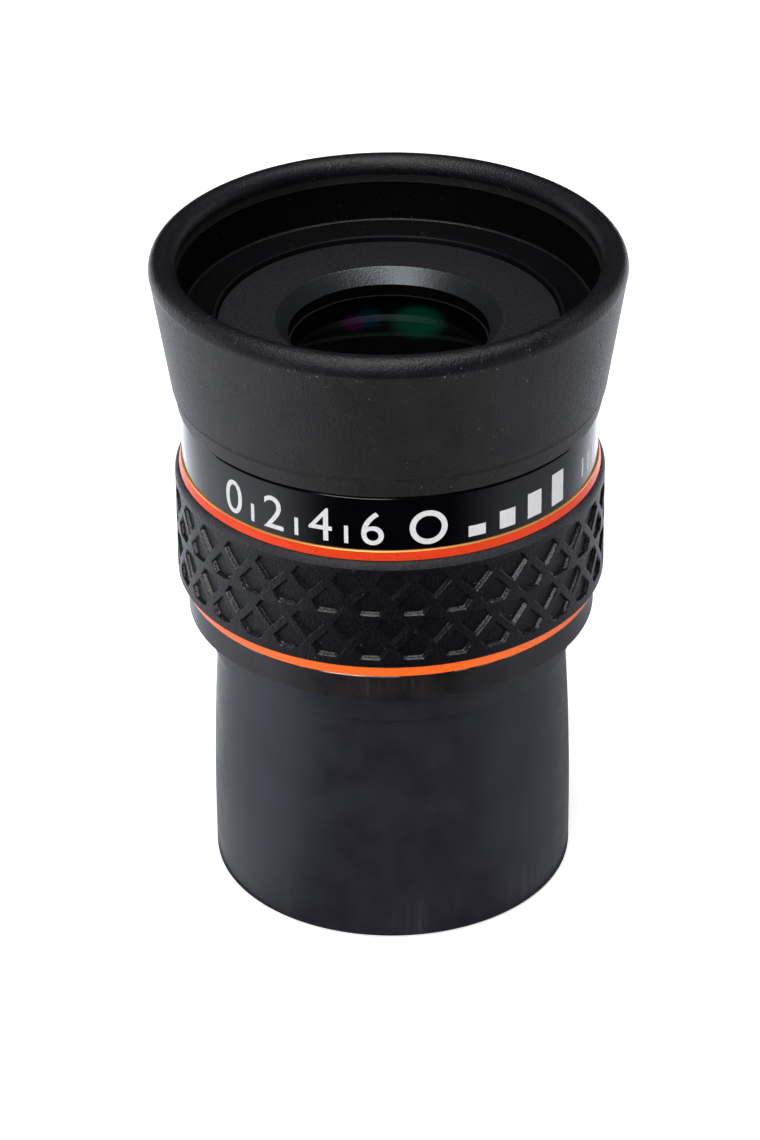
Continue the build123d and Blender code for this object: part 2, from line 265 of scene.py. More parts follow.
def turned_metal(name, dark, light, rough, groove=0.0006, metallic=0.0, specular=0.5, grain=None, cloud=0.25,
                 tint=(1, 1, 1), scuff_line=None):
    """Anodised aluminium with fine lathe marks that run round the axis.

    Grain is (per mm, depth), cloud is tone patches per mm, tint colours the gloss, and a scuff
    line is a height where upright rub marks lie, and how far they spread.
    """
    nodes = Nodes(name)
    rings = nodes.noise(1.0, 3, 0.65, nodes.stretched((0.05, 0.05, 9)))
    colour = nodes.blend_colours(nodes.between(nodes.noise(cloud, 5, 0.6), 0, 1, 0.3, 0.7), dark, light)
    if scuff_line:
        streaks = nodes.noise(1.0, 3, 0.6, nodes.stretched((2.4, 2.4, 0.16)))
        patches = nodes.between(nodes.noise(0.12, 2), 0, 1, 0.48, 0.62)
        share = nodes.math("MULTIPLY", nodes.near_height(*scuff_line), patches)
        share = nodes.math("MULTIPLY", share, nodes.between(streaks, 0, 1, 0.50, 0.68))
        colour = nodes.blend_colours(share, colour, SCUFF)
    smudge = nodes.between(nodes.noise(cloud * 2, 4, 0.6), rough - 0.05, rough + 0.07, 0.3, 0.7)
    nodes.set(Base_Color=colour, Metallic=metallic, Roughness=smudge, Specular_IOR_Level=specular,
              Specular_Tint=(*tint, 1))
    if groove:
        nodes.set(Normal=nodes.bump(rings, groove, 0.6))
    if grain:
        nodes.set(Normal=nodes.bump(nodes.noise(grain[0], 3, 0.6), grain[1], 1.0))
    return nodes.material


LENS_IOR = 1.6
EYE_GLASS_GLOSS = 0.07
COATING_TINT = (0.55, 1.0, 0.80)


def coated_glass(name, specular):
    """Lens glass seen against a black bore."""
    nodes = Nodes(name)
    haze = nodes.noise(0.8, 3)
    nodes.set(Base_Color=(1, 1, 1, 1), Roughness=nodes.between(haze, 0.03, 0.05, 0.45, 0.75), IOR=LENS_IOR,
              Transmission_Weight=1.0, Specular_IOR_Level=specular)
    return nodes.material


# Painted reflections of lights in the lens coating, as soft patches in its base colour: (middle x, middle y,
# reach along x, reach along y, colour).
PAINTED_LENS_REFLECTIONS = (
    (2.5, 4.0, 2.8, 3.8, (0.0, 0.022, 0.011)),
    (-1.7, 4.8, 1.5, 2.4, (0.0, 0.006, 0.012)),
    (-3.0, 4.0, 1.2, 2.0, (0.011, 0.001, 0.010)),
)


def glass_with_painted_reflections(name, dark):
    """Opaque eye lens, painted near-black as painted shade for the unlit bore behind it, with painted
    reflections of lights as soft patches of colour.
    """
    nodes = Nodes(name)
    x, y = nodes.axes()["X"], nodes.axes()["Y"]
    haze = nodes.between(nodes.noise(0.5, 3), 0.7, 1.0, 0.35, 0.65)
    colour = dark
    # each patch is a painted reflection, blended into the lens's base colour
    for middle_x, middle_y, reach_x, reach_y, glow in PAINTED_LENS_REFLECTIONS:
        across = nodes.math("DIVIDE", nodes.math("SUBTRACT", x, middle_x), reach_x)
        along = nodes.math("DIVIDE", nodes.math("SUBTRACT", y, middle_y), reach_y)
        away = nodes.math("ADD", nodes.math("POWER", across, 2), nodes.math("POWER", along, 2))
        share = nodes.math("MULTIPLY", nodes.between(away, 1, 0, 0.05, 1.0, "SMOOTHSTEP"), haze)
        colour = nodes.blend_colours(share, colour, glow)
    smear = nodes.between(nodes.noise(0.3, 3), 0.03, 0.07, 0.4, 0.7)
    nodes.set(Base_Color=colour, Roughness=smear, IOR=LENS_IOR, Specular_IOR_Level=EYE_GLASS_GLOSS,
              Specular_Tint=(*COATING_TINT, 1))
    return nodes.material


def worn_edge_and_glint(name, dark, bare_and_glint):
    """Edge where handling has rubbed through to bare metal in places, paler than the wear alone, as a painted
    highlight along it.
    """
    nodes = Nodes(name)
    wear_and_glint = nodes.between(nodes.noise(0.22, 4, 0.7), 0, 1, 0.46, 0.62)
    nodes.set(Base_Color=nodes.blend_colours(wear_and_glint, dark, bare_and_glint), Metallic=nodes.between(wear_and_glint, 0.1, 0.9),
              Roughness=0.3)
    return nodes.material


DULL_SHARE = 0.78


def paint(name, colour):
    """Pale laser-marked print, a little uneven."""
    nodes = Nodes(name)
    grain = nodes.noise(7, 3, 0.7)
    dull = tuple(DULL_SHARE * c for c in colour)
    nodes.set(Base_Color=nodes.blend_colours(nodes.between(grain, 0, 1, 0.35, 0.6), dull, colour),
              Roughness=0.6)
    return nodes.material


BEAD_TOP = span("eyecup")[1]
GRAIN = (5.0, 0.08)
DUSTY_EDGE = (BEAD_TOP - 1.55, 0.5)
COOL_GLOSS = (0.86, 0.93, 1.0)

CUP_RUBBER = rubber("cup_rubber", (0.0095, 0.0092, 0.0095), (0.021, 0.0205, 0.021), 0.45, GRAIN,
                    specular=0.45, dust=0.6, dust_line=DUSTY_EDGE)
BEAD_RUBBER = rubber("bead_rubber", (0.0030, 0.0030, 0.0044), (0.0090, 0.0090, 0.0120), 0.35, GRAIN,
                     specular=0.32, dust=0.5, dust_line=DUSTY_EDGE)
# painted shade: the cup's inner wall and ledge are much darker copies of the cup rubber
CUP_INSIDE_SHADE = rubber("cup_inside_shade_rubber", (0.0005, 0.0005, 0.0006), (0.0011, 0.0011, 0.0013), 0.7, GRAIN,
                    specular=0.05, dust=0.2)
CUP_LEDGE_SHADE = rubber("cup_ledge_shade_rubber", (0.0006, 0.0006, 0.0010), (0.0020, 0.0020, 0.0028), 0.5, GRAIN,
                   specular=0.06, dust=0.2)
GRIP_RUBBER = rubber("grip_rubber", (0.0012, 0.0011, 0.0020), (0.0046, 0.0044, 0.0068), 0.38, (4.5, 0.10),
                     specular=0.45)
# painted highlight: a lighter copy of the grip rubber for the pockets' walls
GRIP_WALL_GLINT = rubber("grip_wall_glint_rubber", (0.003, 0.003, 0.005), (0.009, 0.009, 0.013), 0.30, (4.5, 0.05),
                    specular=0.62)
# painted highlight: a lighter copy of the grip rubber for its top round-over
GRIP_EDGE_GLINT = rubber("grip_edge_glint_rubber", (0.010, 0.009, 0.013), (0.040, 0.037, 0.044), 0.5, (4.5, 0.12))
BARREL_BLACK = turned_metal("barrel_black", (0.0135, 0.0128, 0.0190), (0.0215, 0.0205, 0.0300), 0.33,
                            tint=COOL_GLOSS, scuff_line=(1.0, 4.5))
SATIN_BLACK = turned_metal("satin_black", (0.008, 0.007, 0.008), (0.020, 0.017, 0.019), 0.30,
                           scuff_line=(span("main_body")[0] + 1.6, 1.8))
GLOSS_BLACK = turned_metal("gloss_black", (0.0008, 0.0007, 0.0016), (0.0012, 0.0010, 0.0022), 0.13)
BEVEL_SATIN = turned_metal("bevel_satin", (0.005, 0.006, 0.008), (0.016, 0.018, 0.022), 0.33,
                           specular=0.95, grain=(5.0, 0.03), cloud=5.0, tint=COOL_GLOSS)
CAP_TEXTURED = turned_metal("cap_textured", (0.0015, 0.0015, 0.0024), (0.0120, 0.0120, 0.0150), 0.5,
                            specular=0.35, grain=(4.5, 0.16), cloud=5.0)
CARRIER_BLACK = turned_metal("carrier_black", (0.0025, 0.0025, 0.0035), (0.0050, 0.0050, 0.0065), 0.45,
                             specular=0.15)
ORANGE_LOWER = turned_metal("orange_lower", (0.97, 0.145, 0.010), (1.0, 0.155, 0.012), 0.30, 0.0,
                            metallic=0.1, specular=0.3)
ORANGE_UPPER = turned_metal("orange_upper", (0.86, 0.050, 0.005), (0.90, 0.056, 0.006), 0.28, 0.0,
                            metallic=0.15, specular=0.35)
# painted highlight: a paler orange for the top edge of the upper ring
ORANGE_GLINT_EDGE = turned_metal("orange_glint_edge", (1.0, 0.46, 0.12), (1.0, 0.52, 0.15), 0.30, 0.0, metallic=0.4)
BODY_EDGE_AND_GLINT = worn_edge_and_glint("body_edge_and_glint", (0.02, 0.02, 0.024), (0.75, 0.75, 0.76))
MATTE_BLACK = turned_metal("matte_black", (0.0012, 0.0012, 0.0012), (0.002, 0.002, 0.002), 0.6,
                           specular=0.05)
STEEL = turned_metal("plain_steel", (0.40, 0.40, 0.41), (0.48, 0.48, 0.49), 0.35, metallic=1.0)
GLIDE = turned_metal("glide_plastic", (0.60, 0.60, 0.58), (0.68, 0.68, 0.66), 0.5)
EYE_GLASS = glass_with_painted_reflections("eye_glass", (0.0004, 0.0005, 0.0005))
INNER_GLASS = coated_glass("inner_glass", 0.05)
PRINT = paint("print_white", (0.74, 0.74, 0.75))


# ---------------------------------------------------------------- rubber eyecup

BEAD_R = 1.17
CUP_FLARE = 0.155
HEM_HEIGHT = 2.0
HEM_GROOVE = 0.16
LEDGE_WIDTH = 0.85
LEDGE_RISE = 0.33
CAP_GAP = 0.45           # between the fixed cap and the edge of the cup's floor
CUP_OUTSIDE, CUP_BEAD, CUP_INNER, CUP_STEP = range(4)


def eyecup():
    bottom, top, lip_r = span("eyecup")
    edge_r = span("eye_cap")[2] + CAP_GAP
    bore = span("eyecup_carrier")[2]
    ledge_z = span("eyecup_carrier")[1] - 0.03
    seat_z = span("eye_cap")[1]
    bead_z = top - BEAD_R
    bead_mid = lip_r - BEAD_R - 0.02
    hem_top = bottom + HEM_HEIGHT

    def wall(height):
        return lip_r - 0.03 - CUP_FLARE * (bead_z - height)

    outline = rounded([
        (bore, bottom, 0.1),
        (wall(bottom) - 0.16, bottom, 0.30),
        (wall(bottom) + 0.06, bottom + 1.1, 0.8),
        (wall(hem_top) - 0.12, hem_top - 0.42, 0.2),
        (wall(hem_top) - HEM_GROOVE, hem_top - 0.16, 0.06),
        (wall(hem_top), hem_top + 0.02, 0.12),
        (wall(bead_z - 0.30), bead_z - 0.30),
        (lip_r - 0.02, bead_z - 0.12, 0.05),
        (lip_r - 0.02, bead_z + 0.10, 0.05),
        arc((bead_mid, bead_z), BEAD_R, 10, 16)[0],
    ])
    outline += arc((bead_mid, bead_z), BEAD_R, 16, 196, 30)
    outline += rounded([
        (bead_mid - BEAD_R - 0.02, bead_z - 1.0),
        (bore + LEDGE_WIDTH + 0.58, bead_z - 1.12, 0.1),
        (bore + LEDGE_WIDTH, ledge_z + LEDGE_RISE, 0.18),
        (edge_r, ledge_z, 0.12),
        (edge_r, seat_z),
        (bore, seat_z),
    ])

    def finish_of(first, second):
        """The bead's finish also paints a thin highlight line along the ledge's corner."""
        lowest, highest = sorted((first[1], second[1]))
        if lowest > bead_z - 0.75:
            return CUP_BEAD
        if max(first[0], second[0]) > bore + LEDGE_WIDTH + 0.75 or not bead_z - 0.6 > first[1] > seat_z - 2:
            return CUP_OUTSIDE
        # painted highlight: the ledge's corner takes the lighter bead rubber
        if abs(lowest - ledge_z - LEDGE_RISE) < 0.12 and highest < bead_z - 2:
            return CUP_BEAD
        return CUP_STEP if highest < ledge_z + LEDGE_RISE else CUP_INNER

    materials = [CUP_RUBBER, BEAD_RUBBER, CUP_INSIDE_SHADE, CUP_LEDGE_SHADE]
    lathe("eyecup_rubber", outline, "eyecup", ["eyecup"], materials, pick=finish_of)


# ---------------------------------------------------------------- grip with its pockets

GRIP_POCKETS = 32
POCKET_DEPTH = 0.36
POCKET_DRAFT = 0.22
POCKET = ((0, 0), (1.50, 1.63), (0.87, 2.53), (-0.87, 2.53), (-1.50, 1.63))
POCKET_ROWS = ((0.73, 4.66), (5.01, 8.99))
GRIP_COLUMNS = 8
GRIP_WALL = 1.15
GRIP_ROUND = 0.7
GRIP_ROUND_STEPS = 8
GRIP_SEAM_WELD = 2e-3    # joins the ribbed outside to the plain shell
POCKET_LINES = (0, 0.2, 0.5, 0.8, 1)     # where the mesh has lines across a pocket's wall
WALL_DROP = 0.01         # a face that is deeper at one corner by more than this is a wall
GRIP_FLAT, GRIP_TOP_EDGE, GRIP_POCKET_WALL = range(3)


def inset(loop, distance):
    """The loop with each side moved inward by distance; the loop is anticlockwise."""
    moved = []
    for index, point in enumerate(loop):
        before = (point - loop[index - 1]).normalized()
        after = (loop[(index + 1) % len(loop)] - point).normalized()
        inward_before = Vector((-before.y, before.x))
        inward_after = Vector((-after.y, after.x))
        bisector = (inward_before + inward_after).normalized()
        moved.append(point + bisector * distance / bisector.dot(inward_before))
    return moved


def depth_in(loop, point):
    """Distance from point to the nearest side, positive inside the loop."""
    nearest = math.inf
    for index, corner in enumerate(loop):
        along = (loop[(index + 1) % len(loop)] - corner).normalized()
        nearest = min(nearest, (point - corner).dot(Vector((-along.y, along.x))))
    return nearest


def pocket_loops(pitch, bottom):
    """Outlines of the pockets that touch one tile of the grip, in (round, height)."""
    loops = []
    height = POCKET[2][1]
    for low, high in POCKET_ROWS:
        for middle in (0, pitch):
            loops.append([Vector((middle + x, bottom + high - height + z)) for x, z in POCKET])
        loops.append([Vector((pitch / 2 - x, bottom + low + height - z)) for x, z in POCKET])
    return loops


def area(loop):
    return sum(a.x * b.y - b.x * a.y for a, b in zip(loop, loop[1:] + loop[:1])) / 2


def grip():
    low, high, radius = span("grip_sleeve")
    bore = radius - GRIP_WALL
    pitch = 2 * math.pi * radius / GRIP_POCKETS
    flat_top = high - GRIP_ROUND
    loops = [loop if area(loop) > 0 else loop[::-1] for loop in pocket_loops(pitch, low)]

    def drop(point):
        """How far below the outer surface a point of the tile lies."""
        deepest = max(depth_in(loop, point) for loop in loops)
        share = min(max(deepest / POCKET_DRAFT, 0), 1)
        return POCKET_DEPTH * share * share * (3 - 2 * share)

    points, edges = [], []

    def add_loop(loop):
        start = len(points)
        points.extend(loop)
        count = len(loop)
        edges.extend((start + i, start + (i + 1) % count) for i in range(count))

    for column in range(GRIP_COLUMNS + 1):
        x = pitch * column / GRIP_COLUMNS
        points.extend([Vector((x, low)), Vector((x, flat_top))])
        edges.append((len(points) - 2, len(points) - 1))
    for height in (low, flat_top):
        points.extend([Vector((0, height)), Vector((pitch, height))])
        edges.append((len(points) - 2, len(points) - 1))
    for loop in loops:
        for share in POCKET_LINES:
            add_loop(inset(loop, POCKET_DRAFT * share))
    verts, _, faces, _, _, _ = delaunay_2d_cdt(points, edges, [], 0, 1e-5)
    kept = []
    for face in faces:
        middle_x = sum(verts[i].x for i in face) / len(face)
        if 0 < middle_x < pitch:
            kept.append(face)
    bm = bmesh.new()
    for tile in range(GRIP_POCKETS):
        made = {}
        for face in kept:
            corners = []
            for index in face:
                if index not in made:
                    point = verts[index]
                    angle = 2 * math.pi * (tile + point.x / pitch) / GRIP_POCKETS - math.pi / 2
                    reach = radius - drop(point)
                    made[index] = bm.verts.new((reach * math.cos(angle), reach * math.sin(angle), point.y))
                corners.append(made[index])
            # pocket walls take the lighter rubber, painted glints along the pocket edges
            drops = [drop(verts[index]) for index in face]
            is_wall = max(drops) - min(drops) > WALL_DROP
            bm.faces.new(corners).material_index = GRIP_POCKET_WALL if is_wall else GRIP_FLAT
    bmesh.ops.remove_doubles(bm, verts=bm.verts, dist=WELD)
    shell = arc((radius - GRIP_ROUND, flat_top), GRIP_ROUND, 0, 90, GRIP_ROUND_STEPS)
    shell += [(bore, high), (bore, low), (radius, low)]

    # the top round-over takes the lighter rubber as a painted highlight
    def finish_of(first, second):
        on_top_edge = first[0] > bore + 0.1 < second[0] and second[1] > flat_top
        return GRIP_TOP_EDGE if on_top_edge else GRIP_FLAT

    turn(bm, shell, steps=GRIP_POCKETS * GRIP_COLUMNS, closed=False, pick=finish_of)
    bmesh.ops.remove_doubles(bm, verts=bm.verts, dist=GRIP_SEAM_WELD)
    materials = [GRIP_RUBBER, GRIP_EDGE_GLINT, GRIP_WALL_GLINT]
    finish_mesh("grip_ribbed", bm, "root", ["grip_sleeve"], materials)


# ---------------------------------------------------------------- trim rings, band and its marks

TRIM_FOOT_IN = 0.85
TRIM_GLINT_DEPTH = 0.12   # the painted highlight along the top of the upper ring


def trim_rings():
    inner = span("grip_sleeve")[2] - GRIP_WALL
    low, high, radius = span("trim_ring_lower")
    foot_r = radius - TRIM_FOOT_IN
    outline = rounded([
        (inner, low), (foot_r, low), (foot_r, low + 0.12), (radius - 0.46, low + 0.14, 0.04),
        (radius, high, 0.06), (inner, high),
    ])
    lathe("trim_ring_lower_orange", outline, "root", ["trim_ring_lower"], [ORANGE_LOWER])

    low, high, radius = span("trim_ring_upper")

    def on_glint_edge(first, second):
        return int(min(first[1], second[1]) > high - TRIM_GLINT_DEPTH)

    outline = rounded([(inner, low), (radius, low, 0.05), (radius - 0.17, high, 0.16), (inner, high)])
    lathe("trim_ring_upper_orange", outline, "root", ["trim_ring_upper"],
          [ORANGE_UPPER, ORANGE_GLINT_EDGE], pick=on_glint_edge)


BAND_WALL = (0.7, 1.25)


def band():
    low, high, radius = span("band_ring")
    thread_top = span("main_body")[1] + 0.05
    outer, inner = (radius - wall for wall in BAND_WALL)
    lathe("band_gloss",
          rounded([(outer, low), (radius, low, 0.08), (radius, high, 0.22), (inner, high, 0.1),
                   (inner, thread_top), (outer, thread_top)]),
          "root", ["band_ring"], [GLOSS_BLACK])


MARK_LIFT = 0.015
MARK_SINK = 0.05
MARK_CUT = 0.35
MARK_BASE = 0.55
MARK_HEIGHT = 3.0
NUMERAL_SIZE = 4.45
# Angles are in degrees from the front, anticlockwise seen from above.
NUMERAL_START, NUMERAL_STEP = -47, 14
NUMERAL_TICK = (0.34, 0.55)              # width, and height as a share of the marks'
RING_ANGLE = 10
RING_R = (1.6, 1.1)
BAR_COUNT = 4
BAR_START, BAR_STEP = 23.5, 9.3
BAR_WIDTH = 1.56
BAR_SHARES = (0.34, 0.22)                # lowest bar, and the rise to the next, of the marks' height
INDEX_COUNT = 3
INDEX_START, INDEX_STEP = 65, 4
INDEX_TICK = (0.28, 0.5, 2.3)            # width, foot and head


def flat_mesh(faces):
    """Flat bmesh of separate faces, each a loop of (along, up) points."""
    bm = bmesh.new()
    for loop in faces:
        bm.faces.new([bm.verts.new((x, y, 0)) for x, y in loop])
    bmesh.ops.remove_doubles(bm, verts=bm.verts, dist=WELD)
    return bm


def bar_mesh(width, low, high):
    half = width / 2
    return flat_mesh([[(-half, low), (half, low), (half, high), (-half, high)]])


def ring_mesh(centre, outer, inner, steps=48):
    around = arc(centre, outer, 0, 360, steps)
    within = arc(centre, inner, 0, 360, steps)
    return flat_mesh([[around[i], around[i + 1], within[i + 1], within[i]] for i in range(steps)])


def numeral_mesh(text, size):
    """Flat bmesh of a dial numeral, centred, standing on its base line."""
    curve = bpy.data.curves.new("numeral", "FONT")
    curve.body = text
    curve.size = size
    curve.align_x = "CENTER"
    item = bpy.data.objects.new("numeral", curve)
    bpy.context.scene.collection.objects.link(item)
    bpy.context.view_layer.update()
    mesh = bpy.data.meshes.new_from_object(item.evaluated_get(bpy.context.evaluated_depsgraph_get()))
    bm = bmesh.new()
    bm.from_mesh(mesh)
    bpy.data.objects.remove(item)
    bpy.data.curves.remove(curve)
    bpy.data.meshes.remove(mesh)
    return bm


def wrapped(name, bm, angle, base):
    """Lays a flat shape on the band, with its zero at an angle from the front, and fastens it."""
    radius = span("band_ring")[2]
    reach = max(abs(v.co.x) for v in bm.verts)
    cuts = int(reach / MARK_CUT)
    for index in range(-cuts, cuts + 1):
        geometry = bm.verts[:] + bm.edges[:] + bm.faces[:]
        bmesh.ops.bisect_plane(bm, geom=geometry, plane_co=(index * MARK_CUT, 0, 0), plane_no=(1, 0, 0))
    bmesh.ops.remove_doubles(bm, verts=bm.verts, dist=WELD)
    raised = bmesh.ops.extrude_face_region(bm, geom=bm.faces[:])
    top = {item for item in raised["geom"] if isinstance(item, bmesh.types.BMVert)}
    for vert in bm.verts:
        turn_angle = math.radians(angle - 90) + vert.co.x / radius
        out = radius + (MARK_LIFT if vert in top else -MARK_SINK)
        height = base + vert.co.y
        vert.co = (out * math.cos(turn_angle), out * math.sin(turn_angle), height)
    finish_mesh(name, bm, "root", [], [PRINT])


def marks():
    """Plain dial marks: a scale, a ring and a rising row of bars."""
    base = span("band_ring")[0] + MARK_BASE
    tick_width, tick_share = NUMERAL_TICK
    for index, text in enumerate("0246"):
        angle = NUMERAL_START + NUMERAL_STEP * index
        wrapped(f"scale_numeral_{text}", numeral_mesh(text, NUMERAL_SIZE), angle, base)
        if index:
            tick = bar_mesh(tick_width, 0, tick_share * MARK_HEIGHT)
            wrapped(f"scale_tick_{index}", tick, angle - NUMERAL_STEP / 2, base)
    wrapped("centre_ring", ring_mesh((0, MARK_HEIGHT / 2), *RING_R), RING_ANGLE, base)
    lowest, rise = BAR_SHARES
    for index in range(BAR_COUNT):
        bar = bar_mesh(BAR_WIDTH, 0, MARK_HEIGHT * (lowest + rise * index))
        wrapped(f"rise_bar_{index + 1}", bar, BAR_START + BAR_STEP * index, base)
    for index in range(INDEX_COUNT):
        wrapped(f"index_tick_{index + 1}", bar_mesh(*INDEX_TICK), INDEX_START + INDEX_STEP * index, base)


# ---------------------------------------------------------------- body, barrel and the eye end

FLANGE_ROUND = 0.16
THREAD_DROP = 0.25
TUBE_WALL = 0.7
SHOULDER_IN = 3.15


def body_shell():
    low, top, radius = span("main_body")
    flange_top = span("trim_ring_lower")[0]
    tube_top = span("band_ring")[0]
    tube_r = span("grip_sleeve")[2] - GRIP_WALL
    thread_r = tube_r - THREAD_DROP
    bore = tube_r - TUBE_WALL
    shoulder_r = radius - SHOULDER_IN
    shoulder_z = span("core_tube")[0]

    def on_worn_glint_edge(first, second):
        middle = (first[1] + second[1]) / 2
        return int(first[0] > radius - FLANGE_ROUND and flange_top - 0.13 < middle < flange_top - 0.01)

    outline = rounded([
        (shoulder_r, low), (radius, low, 0.12), (radius, flange_top, FLANGE_ROUND), (tube_r, flange_top),
        (tube_r, tube_top), (thread_r, tube_top), (thread_r, top), (bore, top),
        (bore, shoulder_z), (shoulder_r, shoulder_z),
    ])
    # the flange's top chamfer takes pale worn metal that is also a painted highlight
    lathe("body_flange", outline, "root", ["main_body"],
          [SATIN_BLACK, BODY_EDGE_AND_GLINT], pick=on_worn_glint_edge)


THREAD_PITCH = 0.6
THREAD_TURNS = 8
THREAD_R = (13.95, 14.25)
THREAD_FLAT = 0.1
TAPER = 0.65
TAPER_Z = (4.0, 22.4)
TAPER_STEPS = 16
SPIGOT_IN = 1.375
RELIEF_LENGTH = 0.8
RELIEF_DEPTH = 0.15


def barrel():
    low, top, radius = span("barrel")
    shoulder = span("main_body")[0]
    bore = span("field_cell")[2] + 0.05
    spigot = radius - SPIGOT_IN
    minor, major = THREAD_R
    relief = major + RELIEF_DEPTH
    thread_end = THREAD_PITCH * THREAD_TURNS + 0.2
    relief_end = thread_end + RELIEF_LENGTH
    corners = [(minor, low, 0.05), (radius - 0.05, low, 0.3), (radius, low + 0.5, 0.3)]
    for step in range(TAPER_STEPS + 1):
        share = step / TAPER_STEPS
        corners.append((radius - TAPER * share ** 2, TAPER_Z[0] + (TAPER_Z[1] - TAPER_Z[0]) * share))
    corners += [(radius, TAPER_Z[1], 0.06), (radius, shoulder),
               (spigot, shoulder), (spigot, top), (bore, top), (bore, relief_end),
               (relief, relief_end), (relief, thread_end), (minor, thread_end)]
    for index in reversed(range(THREAD_TURNS)):
        middle = (index + 0.5) * THREAD_PITCH
        corners += [(minor, middle + 2 * THREAD_FLAT), (major, middle + THREAD_FLAT / 2)]
        corners += [(major, middle - THREAD_FLAT / 2), (minor, middle - 2 * THREAD_FLAT)]
    lathe("barrel_tube", rounded(corners), "root", ["barrel"], [BARREL_BLACK])


CAP_THROAT_R = 8.55
CAP_BEVEL = (1.10, 1.25)
CAP_RIM = 0.16
CAP_SPIGOT_IN = 1.8
CAP_TEXTURE, CAP_POLISHED, CAP_HIDDEN = range(3)
LENS_CLEAR_R = 10.9
LENS_TOP_SAG = 0.3
LENS_STEPS = 24


def eye_cap():
    bottom, top, radius = span("eye_cap")
    plate = span("core_tube")[1]
    floor_z = bottom + 0.4
    rim_z = floor_z + 0.12
    spigot = radius - CAP_SPIGOT_IN
    bevel_r, bevel_z = CAP_THROAT_R + CAP_BEVEL[0], top - CAP_BEVEL[1]

    def finish_of(first, second):
        outer = max(first[0], second[0])
        if abs(first[1] - rim_z) < 0.03 and abs(second[1] - rim_z) < 0.03:
            return CAP_POLISHED
        if outer < CAP_THROAT_R + 0.05 or max(first[1], second[1]) < plate:
            return CAP_HIDDEN
        return CAP_POLISHED if outer <= bevel_r + 0.02 else CAP_TEXTURE

    rim_r = CAP_THROAT_R - CAP_RIM
    outline = rounded([
        (CAP_THROAT_R, bevel_z, 0.08), (CAP_THROAT_R, rim_z), (rim_r, rim_z),
        (rim_r, floor_z), (spigot, floor_z), (spigot, plate),
        (radius, plate), (radius, top, 0.12), (bevel_r, top, 0.12),
    ])
    materials = [CAP_TEXTURED, BEVEL_SATIN, MATTE_BLACK]
    lathe("eye_cap_face", outline, "root", ["eye_cap"], materials, pick=finish_of)


def eye_lens():
    low, crown, edge = span("eye_lens")
    land_low = span("upper_spacer")[1]
    land_high = crown - LENS_TOP_SAG

    def dome(centre, land):
        radii = [LENS_CLEAR_R * index / LENS_STEPS for index in range(LENS_STEPS + 1)]
        return [(r, centre + (land - centre) * (r / LENS_CLEAR_R) ** 2) for r in radii]

    outline = dome(crown, land_high) + [(edge, land_high), (edge, land_low)] + dome(low, land_low)[::-1]
    lathe("eye_lens_glass", outline, "root", ["eye_lens"], [EYE_GLASS], closed=False)


CARRIER_EDGE = 0.3
CARRIER_WALL = 0.8
CARRIER_LIP = 0.45


def carrier():
    bottom, top, radius = span("eyecup_carrier")
    lip_top = span("eye_cap")[1]
    edge_out = span("eye_cap")[2] + CAP_GAP
    edge_in = edge_out - CARRIER_EDGE
    bore = radius - CARRIER_WALL
    lip_low = lip_top - CARRIER_LIP
    lathe("carrier_sleeve",
          rounded([(bore, bottom, 0.1), (radius, bottom, 0.1), (radius, lip_top), (edge_out, lip_top),
                   (edge_out, top, 0.08), (edge_in, top, 0.12), (edge_in, lip_low), (bore, lip_low)]),
          "eyecup", ["eyecup_carrier"], [CARRIER_BLACK])


def cad_finishes():
    """Better materials for the CAD nodes that stay."""
    finishes = {
        "core_tube": SATIN_BLACK, "lens_lock_ring": MATTE_BLACK, "upper_spacer": MATTE_BLACK,
        "lower_spacer": MATTE_BLACK, "field_stop": MATTE_BLACK, "field_cell": MATTE_BLACK,
        "field_lens_ring": MATTE_BLACK, "grub_screws": STEEL, "guide_screws": STEEL,
        "glide_ring": GLIDE, "eye_seal": GRIP_RUBBER, "middle_lens": INNER_GLASS,
        "doublet_crown": INNER_GLASS, "doublet_flint": INNER_GLASS,
        "field_lens_crown": INNER_GLASS, "field_lens_flint": INNER_GLASS,
    }
    for node, material in finishes.items():
        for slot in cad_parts[node].material_slots:
            slot.material = material


# ---------------------------------------------------------------- camera, floor and light

CAMERA_ELEVATION = math.radians(30.52)
CAMERA_ROLL = math.radians(-0.54)
CAMERA_DISTANCE = 408.0
CAMERA_LENS = 142.1
SENSOR_WIDTH = 36
CLIP = (0.01, 20)
AIM = (-0.95, 12.25, 20.78)


def camera():
    back = Vector((0, -math.cos(CAMERA_ELEVATION), math.sin(CAMERA_ELEVATION)))
    right = Vector((1, 0, 0))
    up = back.cross(right)
    cos, sin = math.cos(CAMERA_ROLL), math.sin(CAMERA_ROLL)
    across = right * cos + up * sin
    above = up * cos - right * sin
    data = bpy.data.cameras.new("camera")
    data.lens = CAMERA_LENS
    data.sensor_width = SENSOR_WIDTH
    data.clip_start, data.clip_end = CLIP
    item = bpy.data.objects.new("camera", data)
    place = (Vector(AIM) + back * CAMERA_DISTANCE) * MM
    turn_matrix = Matrix((across, above, back)).transposed().to_4x4()
    item.matrix_world = Matrix.Translation(place) @ turn_matrix
    bpy.context.scene.collection.objects.link(item)
    bpy.context.scene.camera = item


# Sizes of the floor and the surround are in metres.
FLOOR_SIZE = 4.0
FLOOR_DROP = 0.0001
FLOOR_GLOW = 0.62
SURROUND_R = 3.5


def stage_piece(name, bm, material):
    mesh = bpy.data.meshes.new(name)
    bm.to_mesh(mesh)
    bm.free()
    mesh.materials.append(material)
    item = bpy.data.objects.new(name, mesh)
    bpy.context.scene.collection.objects.link(item)
    return item


def hide_from(item, rays):
    for ray in rays:
        setattr(item, f"visible_{ray}", False)


